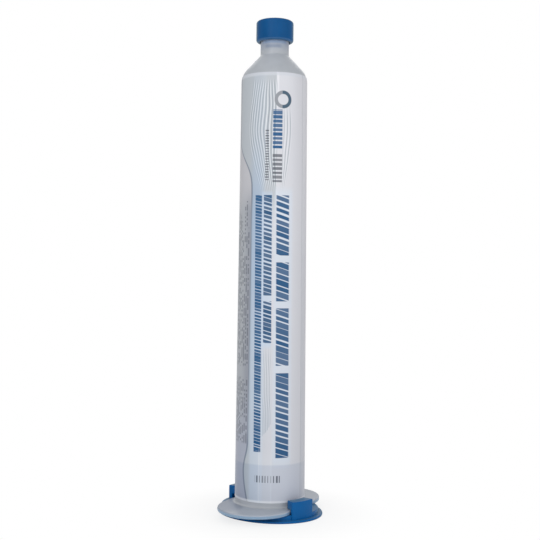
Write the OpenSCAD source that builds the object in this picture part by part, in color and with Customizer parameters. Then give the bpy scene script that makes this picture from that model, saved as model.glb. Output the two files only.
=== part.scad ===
// Glue cartridge for a dispensing gun: a tapered translucent barrel with a finger flange,
// a wrap-around label, a screw cap on a threaded spout, a piston inside and a twist-on end cap.
// It stands upright on its end cap. The barrel's axis is Z, and the flange's wings lie along Y.

/* [Barrel] */
// Diameter of the bore that the piston slides in
bore_d = 21.6; // [18:0.1:22.6]
// Wall of the barrel at its rear, just above the flange
rear_wall = 1.675; // [1.2:0.025:2]
// Wall of the barrel at its front, just below the shoulder
front_wall = 0.925; // [0.8:0.025:1.5]
// Length of the barrel from the flange's underside to the corner of its shoulder
barrel_len = 154.25; // [100:0.05:220]

/* [Finger flange] */
// Length of the flange across its two wings
flange_len = 46.8; // [42:0.1:60]
// Width of the flange across its two flat sides
flange_w = 26.8; // [26.6:0.1:32]
// Thickness of the flange
flange_t = 1.45; // [1:0.05:3]
// Radius where the barrel rises from the flange
flange_root = 0.8; // [0.2:0.1:1]

/* [Shoulder and neck] */
// Angle between the shoulder and the barrel's axis
shoulder_angle = 43; // [30:1:60]
// Radius that blends the barrel into its shoulder
shoulder_blend = 6.4; // [2:0.2:8]
// Wall of the shoulder
shoulder_wall = 1.2; // [0.8:0.1:2]
// Outside diameter of the neck
neck_d = 10.2; // [9:0.1:14]
// Length of the bare neck from the shoulder to the screw cap
neck_len = 4.9; // [2:0.1:12]
// Radius where the neck rises from the shoulder
neck_root = 0.8; // [0.2:0.1:1.5]
// Diameter of the outlet through the neck
outlet_d = 5; // [3:0.1:6]

/* [Spout thread] */
// Length of the threaded spout that the screw cap covers
spout_len = 5.7; // [4.5:0.1:12]
// Rise of the thread in one turn
thread_pitch = 2; // [1.8:0.1:3]
// Height of the thread above the spout
thread_depth = 0.7; // [0.4:0.05:0.9]
// Width of the thread where it meets the spout
thread_foot = 1.1; // [0.8:0.05:1.2]
// Width of the thread at its crest
thread_crest = 0.5; // [0.3:0.05:0.6]

/* [Screw cap] */
// Wall of the screw cap's skirt
cap_wall = 1.2; // [0.8:0.1:2]
// Thickness of the screw cap's top
cap_top = 1.2; // [0.8:0.1:2.5]
// Radius of the screw cap's upper edge
cap_edge = 1; // [0.2:0.1:1.2]
// Radius of the screw cap's lower edge
cap_low_edge = 0.9; // [0.2:0.1:1.1]
// Thickness of the sealing liner inside the screw cap
liner_h = 0.6; // [0.4:0.1:1.2]

/* [Piston] */
// Length of the piston's skirt
piston_len = 9; // [6:0.5:16]
// Wall of the piston
piston_wall = 1.2; // [0.8:0.1:2]
// Depth of the groove between the piston's two sealing lips
lip_relief = 0.45; // [0.2:0.05:0.8]
// Height of each sealing lip
lip_h = 1.6; // [1:0.1:2.4]
// Distance from the barrel's rear end to the piston
piston_recess = 4.5; // [3.5:0.5:20]

/* [Label] */
// Thickness of the label
label_t = 0.1; // [0.05:0.05:0.3]
// Bare barrel between the flange and the label
label_low_gap = 1.85; // [1:0.05:10]
// Bare barrel between the label and the corner of the shoulder
label_high_gap = 0.75; // [0.5:0.05:10]

/* [End cap] */
// Height of the end cap's lower rim
rim_h = 0.85; // [0.6:0.05:2]
// Height of the end cap's seat, which carries the flange
seat_h = 2.45; // [2:0.05:5]
// Thickness of the end cap's floor
floor_t = 1.35; // [0.8:0.05:1.8]
// Width of the rim outside the hooks, along the oval plate's long axis
rim_ledge = 1.6; // [0.8:0.1:2]
// How much narrower the oval plate is across than along
plate_narrow = 5.4; // [2:0.1:5.6]
// Turn from the hooks' axis to the oval plate's long axis
plate_turn = 14; // [0:1:16]
// Width of the step between the rim and the seat
seat_step = 1.5; // [0.8:0.1:2]
// Angle that each hook spans
hook_span = 31; // [20:1:32]
// Radius of the hooks' upper edges
hook_edge = 0.6; // [0.2:0.1:0.8]
// Turn from the locked position to the open one
twist = 20; // [16:1:22]
// Thickness of each hook's upright wall
hook_wall = 1.5; // [0.8:0.05:2]
// Height of each hook above the flange
hook_rise = 3.1; // [2:0.05:5]
// Height of the ring that centres the end cap in the bore
plug_h = 2; // [1:0.1:3]
// Wall of the centring ring
plug_wall = 1.2; // [0.8:0.1:2]

/* [Clearances] */
// Radial gap between the piston's lips and the bore
piston_fit = 0.05; // [0.02:0.01:0.1]
// Gap between faces that slide or seat on each other
seat_gap = 0.05; // [0.02:0.01:0.1]
// Radial gap between one thread's crest and the other part's wall
thread_gap = 0.4; // [0.3:0.05:0.5]
// Gap between the hooks' upright walls and the flange at the locked stop
stop_gap = 0.2; // [0.05:0.01:0.3]
// Gap between the hooks' lips and the flange's flats in the open position
bayonet_gap = 0.25; // [0.15:0.05:0.5]
// Radial gap between the centring ring and the bore
plug_gap = 0.3; // [0.2:0.05:0.5]
// Gap between the glue and the walls round it
glue_gap = 0.05; // [0.02:0.01:0.1]

/* [Hidden] */

arc_steps = 10;      // straight steps in a rounded corner
ring_steps = 36;     // steps in one turn of thread
oval_step = 5;       // degrees between the points of a rounded outline
overlap = 0.2;       // how far a thread's foot sinks into its wall
past = 1;            // how far a cut runs past the face that it opens
mouth_bevel = 0.4;   // bevel at the rear mouth of the bore and at the spout's tip
thread_end = 1.2;    // plain length at each end of the spout
collar = 0.3;        // length of neck that stands inside the screw cap
z_root = 0.4;        // height inside the rim at which the hooks and the ring start
hook_centres = [-20, 160]; // locked position of the two hooks

// Radii
bore_r = bore_d / 2;
rear_r = bore_r + rear_wall;
front_r = bore_r + front_wall;
neck_r = neck_d / 2;
outlet_r = outlet_d / 2;
spout_r = neck_r - thread_depth;
cap_bore_r = neck_r + thread_gap;
cap_r = cap_bore_r + cap_wall;
liner_r = cap_bore_r - thread_gap;
piston_r = bore_r - piston_fit;
lip_r = flange_w / 2 / cos(hook_span / 2) + bayonet_gap;
hook_in_r = flange_w / 2 / cos(twist + hook_span / 2) + stop_gap;
hook_out_r = hook_in_r + hook_wall;
plate_len = 2 * (hook_out_r + rim_ledge);
plate_w = plate_len - plate_narrow;
plug_r = bore_r - plug_gap;

// Heights
z_flange = seat_h + seat_gap;
z_flange_top = z_flange + flange_t;
z_corner = z_flange + barrel_len;
z_neck = z_corner + (front_r - neck_r) / tan(shoulder_angle);
z_cap = z_neck + neck_len;
z_tip = z_cap + spout_len;
z_liner = z_tip + seat_gap;
z_cap_roof = z_liner + liner_h + seat_gap;
z_cap_top = z_cap_roof + cap_top;
z_thread = z_cap + thread_end;
thread_turns = (spout_len - 2 * thread_end) / thread_pitch;
z_piston = z_flange + piston_recess;
z_piston_edge = z_piston + piston_len;
hook_top = z_flange_top + hook_rise;

// Height at which the shoulder, taken depth below its outer face, has radius r
function cone_z(r, depth) =
    z_neck - (r - neck_r + depth / cos(shoulder_angle)) / tan(shoulder_angle);

// Corner b between a and c, rounded to radius r by an arc
function round_corner(a, b, c, r) =
    let (u = (a - b) / norm(a - b), v = (c - b) / norm(c - b),
         half = acos(u * v) / 2,
         centre = b + (u + v) / norm(u + v) * r / sin(half),
         p = b + u * r / tan(half) - centre,
         turn = (180 - 2 * half) * sign(p.x * (v.y - u.y) - p.y * (v.x - u.x)))
    [for (i = [0:arc_steps])
        let (t = turn * i / arc_steps)
        centre + [p.x * cos(t) - p.y * sin(t), p.x * sin(t) + p.y * cos(t)]];

// Closed path through [x, y, radius] corners
function rounded(corners) =
    let (n = len(corners))
    [for (i = [0:n - 1])
        let (a = corners[(i + n - 1) % n], b = corners[i], c = corners[(i + 1) % n])
        each b.z == 0 ? [[b.x, b.y]]
            : round_corner([a.x, a.y], [b.x, b.y], [c.x, c.y], b.z)];

// The barrel's outside, moved outwards by extra, as a path from the axis and back to it
function barrel_skin(extra) = rounded([
    [0, z_flange, 0],
    [rear_r + flange_root + overlap, z_flange, 0],
    [rear_r + flange_root + overlap, z_flange_top + extra, 0],
    [rear_r + extra, z_flange_top + extra, flange_root],
    [front_r + extra, cone_z(front_r + extra, -extra), shoulder_blend + extra],
    [neck_r + extra, cone_z(neck_r + extra, -extra), neck_root],
    [neck_r + extra, z_cap + collar, 0],
    [spout_r, z_cap + collar, 0],
    [spout_r, z_tip - mouth_bevel, 0],
    [spout_r - mouth_bevel, z_tip, 0],
    [0, z_tip, 0]]);

// Corners of the space inside the shoulder and neck, moved inwards by gap, up to z
function front_corners(gap, z) = [
    [bore_r - gap, cone_z(bore_r - gap, shoulder_wall + gap), shoulder_blend - shoulder_wall],
    [outlet_r - gap, cone_z(outlet_r - gap, shoulder_wall + gap), neck_root],
    [outlet_r - gap, z, 0],
    [0, z, 0]];

// The flange's outline: flat sides face X and the half-round ends face Y
flange_outline =
    let (r = flange_w / 2, y = flange_len / 2 - r)
    concat([for (t = [0:oval_step:180]) [r * cos(t), r * sin(t) + y]],
           [for (t = [180:oval_step:360]) [r * cos(t), r * sin(t) - y]]);

// A helical ridge from radius foot_r to crest_r that runs out at both ends
module thread(foot_r, crest_r, start_angle) {
    n = ceil(thread_turns * ring_steps);
    fade = ring_steps / 6;
    outward = crest_r > foot_r;
    points = [for (i = [0:n])
        let (a = start_angle + 360 * thread_turns * i / n,
             z = z_thread + thread_turns * thread_pitch * i / n,
             r = foot_r + (crest_r - foot_r) * max(0.1, min(1, i / fade, (n - i) / fade)))
        each [for (p = [[foot_r, -thread_foot], [r, -thread_crest], [r, thread_crest], [foot_r, thread_foot]])
            [p.x * cos(a), p.x * sin(a), z + p.y / 2]]];
    sides = [for (i = [0:n - 1], k = [0:3])
        let (a = 4 * i, m = (k + 1) % 4)
        each [[a + k, a + m, a + 4 + m], [a + k, a + 4 + m, a + 4 + k]]];
    faces = concat([[3, 2, 1], [3, 1, 0]], sides,
        [[4 * n, 4 * n + 1, 4 * n + 2], [4 * n, 4 * n + 2, 4 * n + 3]]);
    polyhedron(points, [for (f = faces) outward ? f : [f[2], f[1], f[0]]]);
}

module barrel() {
    color([0.80, 0.83, 0.86, 0.6])
    difference() {
        union() {
            rotate_extrude() polygon(barrel_skin(0));
            translate([0, 0, z_flange]) linear_extrude(flange_t)
                polygon(flange_outline);
            thread(spout_r - overlap, neck_r, 0);
        }
        rotate_extrude() polygon(rounded(concat([
            [0, z_flange - past, 0],
            [bore_r + mouth_bevel, z_flange - past, 0],
            [bore_r + mouth_bevel, z_flange, 0],
            [bore_r, z_flange + mouth_bevel, 0]],
            front_corners(0, z_tip + past))));
    }
}

// A stretch of the label, with its inner face on the barrel and its outer face at depth
module label_band(depth) {
    low = z_flange_top + label_low_gap;
    high = z_corner - label_high_gap;
    intersection() {
        difference() {
            polygon(barrel_skin(depth));
            polygon(barrel_skin(0));
        }
        translate([0, low]) square([rear_r + flange_len, high - low]);
    }
}

module label() {
    color([0.86, 0.87, 0.89])
    rotate_extrude() label_band(label_t);
}

module glue() {
    edge_r = piston_r - mouth_bevel;
    nose_r = outlet_r;
    z_edge = z_piston_edge + glue_gap;
    color([0.78, 0.80, 0.80, 0.8])
    rotate_extrude() polygon(rounded(concat([
        [0, nose_z(nose_r) + glue_gap, 0],
        [nose_r, nose_z(nose_r) + glue_gap, 0],
        [edge_r, z_edge, 0],
        [bore_r - glue_gap, z_edge, 0]],
        front_corners(glue_gap, z_tip - glue_gap))));
}

// Height of the piston's nose at radius r: it has the shoulder's own slope
function nose_z(r) = z_piston_edge + (piston_r - mouth_bevel - r) / tan(shoulder_angle);

module piston() {
    body_r = piston_r - lip_relief;
    inner_r = body_r - piston_wall;
    roof = piston_wall / sin(shoulder_angle);
    color([0.88, 0.88, 0.86])
    rotate_extrude() polygon([
        [inner_r, z_piston],
        [piston_r - mouth_bevel / 2, z_piston],
        [piston_r, z_piston + mouth_bevel],
        [piston_r, z_piston + lip_h - mouth_bevel],
        [body_r, z_piston + lip_h],
        [body_r, z_piston_edge - lip_h],
        [piston_r, z_piston_edge - lip_h + mouth_bevel],
        [piston_r, z_piston_edge - mouth_bevel],
        [piston_r - mouth_bevel, z_piston_edge],
        [outlet_r, nose_z(outlet_r)],
        [0, nose_z(outlet_r)],
        [0, nose_z(outlet_r) - roof],
        [outlet_r, nose_z(outlet_r) - roof],
        [inner_r, nose_z(inner_r) - roof]]);
}

module screw_cap() {
    color([0.08, 0.33, 0.57])
    union() {
        rotate_extrude() polygon(rounded([
            [cap_bore_r, z_cap, 0],
            [cap_r, z_cap, cap_low_edge],
            [cap_r, z_cap_top, cap_edge],
            [0, z_cap_top, 0],
            [0, z_cap_roof, 0],
            [cap_bore_r, z_cap_roof, 0]]));
        thread(cap_bore_r + overlap, spout_r + thread_gap, 180);
    }
}

module cap_liner() {
    color([0.93, 0.93, 0.92])
    translate([0, 0, z_liner]) cylinder(h = liner_h, r = liner_r, $fn = 64);
}

// One hook: an upright wall beside the flange, with a lip that reaches in over it
module hook() {
    rotate([0, 0, -hook_span / 2])
    rotate_extrude(angle = hook_span) polygon(rounded([
        [hook_in_r, z_root, 0],
        [hook_out_r, z_root, 0],
        [hook_out_r, hook_top, hook_edge],
        [lip_r, hook_top, hook_edge],
        [lip_r, z_flange_top + seat_gap, 0],
        [hook_in_r, z_flange_top + seat_gap, 0]]));
}

// A layer of the oval plate, its outline moved inwards by inset
module plate(height, inset) {
    rotate([0, 0, hook_centres[0] + plate_turn])
    linear_extrude(height)
    polygon([for (t = [0:oval_step:360 - oval_step])
        [(plate_len / 2 - inset) * cos(t), (plate_w / 2 - inset) * sin(t)]]);
}

module end_cap() {
    color([0.08, 0.33, 0.57])
    difference() {
        union() {
            plate(rim_h, 0);
            plate(seat_h, seat_step);
            for (a = hook_centres) rotate([0, 0, a]) hook();
            rotate_extrude() polygon(rounded([
                [0, z_root, 0],
                [plug_r, z_root, 0],
                [plug_r, z_flange + plug_h, mouth_bevel],
                [plug_r - plug_wall, z_flange + plug_h, 0],
                [plug_r - plug_wall, seat_h, 0],
                [0, seat_h, 0]]));
        }
        translate([0, 0, -past])
            cylinder(h = seat_h - floor_t + past, r = plug_r - plug_wall, $fn = 96);
    }
}

barrel();
label();
glue();
piston();
screw_cap();
cap_liner();
end_cap();
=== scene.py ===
"""Glue cartridge: the visual model in the CAD frame, its print, its stage and its camera."""
import math

import bmesh
import bpy
from bpy.props import FloatProperty, FloatVectorProperty, PointerProperty
from mathutils import Matrix, Vector


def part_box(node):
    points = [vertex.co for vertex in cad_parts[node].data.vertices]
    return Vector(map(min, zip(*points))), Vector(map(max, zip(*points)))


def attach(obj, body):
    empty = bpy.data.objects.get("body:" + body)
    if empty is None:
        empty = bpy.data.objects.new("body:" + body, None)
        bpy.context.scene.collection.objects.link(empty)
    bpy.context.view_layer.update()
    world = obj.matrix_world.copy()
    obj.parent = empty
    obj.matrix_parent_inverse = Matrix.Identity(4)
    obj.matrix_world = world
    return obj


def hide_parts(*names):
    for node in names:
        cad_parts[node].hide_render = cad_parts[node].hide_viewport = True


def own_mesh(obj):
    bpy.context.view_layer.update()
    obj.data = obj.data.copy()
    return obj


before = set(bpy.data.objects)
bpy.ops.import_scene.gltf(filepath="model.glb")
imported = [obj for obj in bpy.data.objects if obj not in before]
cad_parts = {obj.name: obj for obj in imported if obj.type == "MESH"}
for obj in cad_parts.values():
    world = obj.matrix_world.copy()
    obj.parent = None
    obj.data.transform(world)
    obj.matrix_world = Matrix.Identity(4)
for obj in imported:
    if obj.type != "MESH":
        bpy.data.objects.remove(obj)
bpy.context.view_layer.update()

bl_info = {
    "name": "Glue cartridge",
    "version": (1, 0, 0),
    "blender": (4, 5, 0),
    "location": "View3D > Sidebar > Cartridge",
    "description": "Builds a glue cartridge with its label, screw cap, piston and end cap",
    "category": "Add Mesh",
}

MM = 0.001
SEAT_GAP = 0.05


def box_mm(node):
    """The lowest and highest corner of a CAD node, in millimetres."""
    low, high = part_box(node)
    return Vector(low) / MM, Vector(high) / MM


# Sizes in millimetres: what the CAD boxes give is read from them
BARREL_LOW, BARREL_HIGH = box_mm("barrel")
LABEL_LOW, LABEL_HIGH = box_mm("label")
CAP_LOW, CAP_HIGH = box_mm("screw_cap")
LINER_LOW, LINER_HIGH = box_mm("cap_liner")
PISTON_LOW, PISTON_HIGH = box_mm("piston")

BORE_R = 10.8
REAR_R = 12.475
FRONT_R = 11.725
NECK_R = 5.1
SPOUT_R = 4.4
OUTLET_R = 2.5
SHOULDER_ANGLE = math.radians(43)
SHOULDER_BLEND = 6.4
SHOULDER_WALL = 1.2
NECK_ROOT = 0.8
COLLAR = 0.3
MOUTH_BEVEL = 0.4
FLANGE_T = 1.45
FLANGE_ROOT = 0.8
FLANGE_HALF_WIDTH = 13.4
FLANGE_END_R = BARREL_HIGH.y
Z_FLANGE = BARREL_LOW.z
Z_FLANGE_TOP = Z_FLANGE + FLANGE_T
Z_TIP = BARREL_HIGH.z
Z_CAP = CAP_LOW.z
Z_CAP_TOP = CAP_HIGH.z
Z_CORNER = Z_FLANGE + 154.25
Z_NECK = Z_CORNER + (FRONT_R - NECK_R) / math.tan(SHOULDER_ANGLE)

THREAD_PITCH = 2.0
THREAD_FOOT = 1.1
THREAD_CREST = 0.5
THREAD_TURNS = 1.65
THREAD_RUN_OUT = 1 / 6
THREAD_RINGS = 36
Z_THREAD = Z_CAP + 1.2

CAP_BORE_R = 5.5
CAP_R = CAP_HIGH.x
CAP_THREAD_R = 4.8
CAP_EDGE = 1.0
CAP_LOW_EDGE = 0.9
CAP_RINGS = 40
CAP_ROOF = LINER_HIGH.z + SEAT_GAP

PISTON_R = 10.75
PISTON_BODY_R = 10.3
PISTON_INNER_R = 9.1
PISTON_LIP = 1.6
PISTON_WALL = 1.2
PISTON_STROKE = 138.0
Z_PISTON = PISTON_LOW.z
Z_PISTON_EDGE = Z_PISTON + 9.0

TWIST = math.radians(20)
HOOK_SPAN = math.radians(31)
HOOK_CENTRES = (math.radians(-20), math.radians(160))
HOOK_WALL = 1.5
HOOK_RISE = 3.1
HOOK_EDGE = 0.32
BAYONET_GAP = 0.25
STOP_GAP = 0.2
HOOK_LIP_R = FLANGE_HALF_WIDTH / math.cos(HOOK_SPAN / 2) + BAYONET_GAP
HOOK_IN_R = FLANGE_HALF_WIDTH / math.cos(TWIST + HOOK_SPAN / 2) + STOP_GAP
HOOK_OUT_R = HOOK_IN_R + HOOK_WALL
HOOK_TOP = Z_FLANGE_TOP + HOOK_RISE
RIM_LEDGE = 1.6
PLATE_LONG = HOOK_OUT_R + RIM_LEDGE
PLATE_SHORT = PLATE_LONG - 2.7
PLATE_TURN = HOOK_CENTRES[0] + math.radians(14)
RIM_H = 0.85
SEAT_H = 2.45
SEAT_STEP = 1.5
END_FLOOR_Z = 1.1
PLUG_R = 10.5
PLUG_INNER_R = 9.3
PLUG_TOP = Z_FLANGE + 2.0
HOOK_ROOT_Z = 0.4

# The label's lap: where its edge shows and how far it reaches round the hidden side
LAP_EDGE = math.radians(-3)
LAP_REACH = math.radians(14)
# The film stands this far off the barrel, and ends this far below its CAD box
FILM_GAP = 0.01
FILM_MARGIN = 0.03

# The photo was taken from this side, and print is placed by the turn from it
PHOTO_AZIMUTH = 29.0
PHOTO_SIDE = PHOTO_AZIMUTH - 90.0
# Height in millimetres at which the rows of bars begin, below the waves
PRINT_TOP = 113.0

# The camera, the point that the lamps face and the floor: metres and degrees, with the lens in millimetres
CAMERA_LENS = 64.0
CAMERA_AWAY = 0.346
CAMERA_ASIDE = 0.0008
CAMERA_HEIGHT = 0.0869
CAMERA_ROLL = 0.66
LAMP_AIM = Vector((0, 0, 0.09))
FLOOR_HALF = 3.0
# Just under the end cap, so that no two faces share a plane
FLOOR_Z = -0.00002

SEGMENTS = 192
ARC_STEPS = 10
SHARP_EDGE = 35


def srgb(red, green, blue):
    """A colour picked on screen, 0 to 255, as the linear one that Blender uses."""
    def linear(value):
        value /= 255
        return value / 12.92 if value <= 0.04045 else ((value + 0.055) / 1.055) ** 2.4
    return linear(red), linear(green), linear(blue)


class CartridgeSizes(bpy.types.PropertyGroup):
    """Sizes that the CAD boxes leave open"""
    edge_round: FloatProperty(
        name="Edge rounding", description="Radius of the flange's and the plate's edges",
        default=0.00035, min=0.0001, max=0.0006, unit="LENGTH")
    label_thickness: FloatProperty(
        name="Label thickness", description="Thickness of the printed film",
        default=0.0001, min=0.00005, max=0.0001, unit="LENGTH")
    lap_thickness: FloatProperty(
        name="Lap thickness", description="How far the film's overlap stands above the rest",
        default=0.00008, min=0.00002, max=0.00015, unit="LENGTH")


class CartridgeColours(bpy.types.PropertyGroup):
    """Colours of the materials"""
    plastic: FloatVectorProperty(
        name="Barrel", description="Colour of the frosted barrel",
        subtype="COLOR", size=3, default=srgb(175, 180, 187))
    blue: FloatVectorProperty(
        name="Caps", description="Colour of the screw cap and the end cap",
        subtype="COLOR", size=3, default=srgb(0, 78, 134))
    film: FloatVectorProperty(
        name="Label", description="Colour of the label's bare film",
        subtype="COLOR", size=3, default=srgb(214, 215, 221))
    ink: FloatVectorProperty(
        name="Print", description="Colour of the largest print",
        subtype="COLOR", size=3, default=srgb(0, 77, 124))
    glue: FloatVectorProperty(
        name="Glue", description="Colour of the glue",
        subtype="COLOR", size=3, default=srgb(205, 208, 206))
    floor: FloatVectorProperty(
        name="Floor", description="Colour of the floor",
        subtype="COLOR", size=3, default=srgb(252, 252, 252))


# Profiles and meshes

def cone_z(radius, depth):
    """Height at which the shoulder, taken depth below its outer face, has this radius."""
    return Z_NECK - (radius - NECK_R + depth / math.cos(SHOULDER_ANGLE)) / math.tan(SHOULDER_ANGLE)


def round_corner(before, corner, after, radius, steps):
    """The corner replaced by an arc, as a list of points."""
    u = (before - corner).normalized()
    v = (after - corner).normalized()
    half = u.angle(v) / 2
    centre = corner + (u + v).normalized() * radius / math.sin(half)
    start = corner + u * radius / math.tan(half) - centre
    turn = math.pi - 2 * half
    if start.x * (v.y - u.y) - start.y * (v.x - u.x) < 0:
        turn = -turn
    return [centre + Matrix.Rotation(turn * i / steps, 2) @ start for i in range(steps + 1)]


def rounded(corners, steps=ARC_STEPS):
    """An open path through (x, y, radius) corners."""
    points = [Vector(c[:2]) for c in corners]
    path = []
    for i, corner in enumerate(corners):
        if corner[2] == 0:
            path.append(points[i])
        else:
            path += round_corner(*points[i - 1:i + 2], corner[2], steps)
    return path


def ring_angles():
    """The angles of every ring, with two close ones where the label's lap steps down."""
    even = [math.tau * i / SEGMENTS for i in range(SEGMENTS)]
    step = LAP_EDGE % math.tau
    return sorted(even + [step, step + math.radians(0.35)])


ANGLES = ring_angles()


def ring(radius, z):
    """One ring of points; radius is a number or a function of the angle."""
    if not callable(radius):
        return [Vector((radius * math.cos(a), radius * math.sin(a), z)) for a in ANGLES]
    return [Vector((radius(a) * math.cos(a), radius(a) * math.sin(a), z)) for a in ANGLES]


def to_rings(path):
    """Rings for a path of (radius, height) points; a point on the axis becomes a pole."""
    return [[Vector((0, 0, p[1]))] if abs(p[0]) < 1e-6 else ring(p[0], p[1]) for p in path]


def finish_mesh(mesh, sharp):
    """Faces all turned outwards and shaded smooth, with sharp edges kept."""
    work = bmesh.new()
    work.from_mesh(mesh)
    bmesh.ops.recalc_face_normals(work, faces=work.faces)
    work.to_mesh(mesh)
    work.free()
    mesh.shade_smooth()
    mesh.set_sharp_from_angle(angle=math.radians(sharp))


def new_object(name, vertices, faces, sharp=SHARP_EDGE):
    """A mesh object from millimetre points, in the scene's main collection."""
    mesh = bpy.data.meshes.new(name)
    mesh.from_pydata([v * MM for v in vertices], [], faces)
    finish_mesh(mesh, sharp)
    obj = bpy.data.objects.new(name, mesh)
    bpy.context.scene.collection.objects.link(obj)
    return obj


def loft_faces(rings, closed):
    """Points and faces that join each ring to the next."""
    vertices = []
    starts = []
    for points in rings:
        starts.append(len(vertices))
        vertices += points
    pairs = list(zip(range(len(rings) - 1), range(1, len(rings))))
    if closed:
        pairs.append((len(rings) - 1, 0))
    faces = []
    for a, b in pairs:
        count = max(len(rings[a]), len(rings[b]))
        for i in range(count):
            j = (i + 1) % count
            if len(rings[a]) == 1:
                faces.append((starts[a], starts[b] + i, starts[b] + j))
            elif len(rings[b]) == 1:
                faces.append((starts[a] + i, starts[a] + j, starts[b]))
            else:
                faces.append((starts[a] + i, starts[a] + j, starts[b] + j, starts[b] + i))
    return vertices, faces


def loft(name, rings, closed=False, sharp=SHARP_EDGE):
    """A smooth object through the rings."""
    vertices, faces = loft_faces(rings, closed)
    return new_object(name, vertices, faces, sharp)


def ridge(angle, z, start_angle):
    """How far the screw thread stands up at this place, from 0 to 1."""
    turns = (z - Z_THREAD) / THREAD_PITCH
    around = ((angle - start_angle) % math.tau) / math.tau
    height = 0.0
    for lap in range(-1, 3):
        along = around + lap
        if not 0 <= along <= THREAD_TURNS:
            continue
        off = abs(turns - along) * THREAD_PITCH
        flank = (THREAD_FOOT / 2 - off) / ((THREAD_FOOT - THREAD_CREST) / 2)
        fade = min(along, THREAD_TURNS - along) / THREAD_RUN_OUT
        height = max(height, min(1.0, max(0.0, flank)) * min(1.0, fade))
    return height


def flange_radius(angle):
    """The flange's outline seen from the axis: two flat sides and two half-round ends."""
    c, s = abs(math.cos(angle)), abs(math.sin(angle))
    centre = FLANGE_END_R - FLANGE_HALF_WIDTH
    if c > 1e-6 and FLANGE_HALF_WIDTH / c * s <= centre:
        return FLANGE_HALF_WIDTH / c
    along = centre * s
    return along + math.sqrt(along ** 2 - centre ** 2 + FLANGE_HALF_WIDTH ** 2)


def plate_radius(angle, inset):
    """The end cap's oval plate seen from the axis."""
    a, b = PLATE_LONG - inset, PLATE_SHORT - inset
    c, s = math.cos(angle - PLATE_TURN), math.sin(angle - PLATE_TURN)
    return a * b / math.hypot(b * c, a * s)


def rounded_rim(outline, low, high, edge, steps=4):
    """Rings up the side of a slab whose two edges are rounded."""
    rings = []
    for level, sign in ((low + edge, -1), (high - edge, 1)):
        for i in range(steps + 1):
            t = math.pi / 2 * (i / steps if sign > 0 else 1 - i / steps)
            inset = edge * (1 - math.cos(t))
            rings.append(ring(lambda a, d=inset: outline(a) - d, level + sign * edge * math.sin(t)))
    return rings


def barrel_skin():
    """The barrel's outside above the flange, up to the collar inside the screw cap."""
    return rounded([
        (REAR_R + FLANGE_ROOT + 0.2, Z_FLANGE_TOP, 0),
        (REAR_R, Z_FLANGE_TOP, FLANGE_ROOT),
        (FRONT_R, cone_z(FRONT_R, 0), SHOULDER_BLEND),
        (NECK_R, cone_z(NECK_R, 0), NECK_ROOT),
        (NECK_R, Z_CAP + COLLAR, 0.12),
        (SPOUT_R, Z_CAP + COLLAR, 0)], steps=14)


def front_path(gap, top):
    """The space inside the shoulder and neck, moved inwards by gap, from the bore up to top."""
    return [
        (BORE_R - gap, cone_z(BORE_R - gap, SHOULDER_WALL + gap), SHOULDER_BLEND - SHOULDER_WALL),
        (OUTLET_R - gap, cone_z(OUTLET_R - gap, SHOULDER_WALL + gap), NECK_ROOT),
        (OUTLET_R - gap, top, 0)]


def nose_z(radius):
    """Height of the piston's nose at this radius."""
    return Z_PISTON_EDGE + (PISTON_R - MOUTH_BEVEL - radius) / math.tan(SHOULDER_ANGLE)


# Shader helpers

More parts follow.
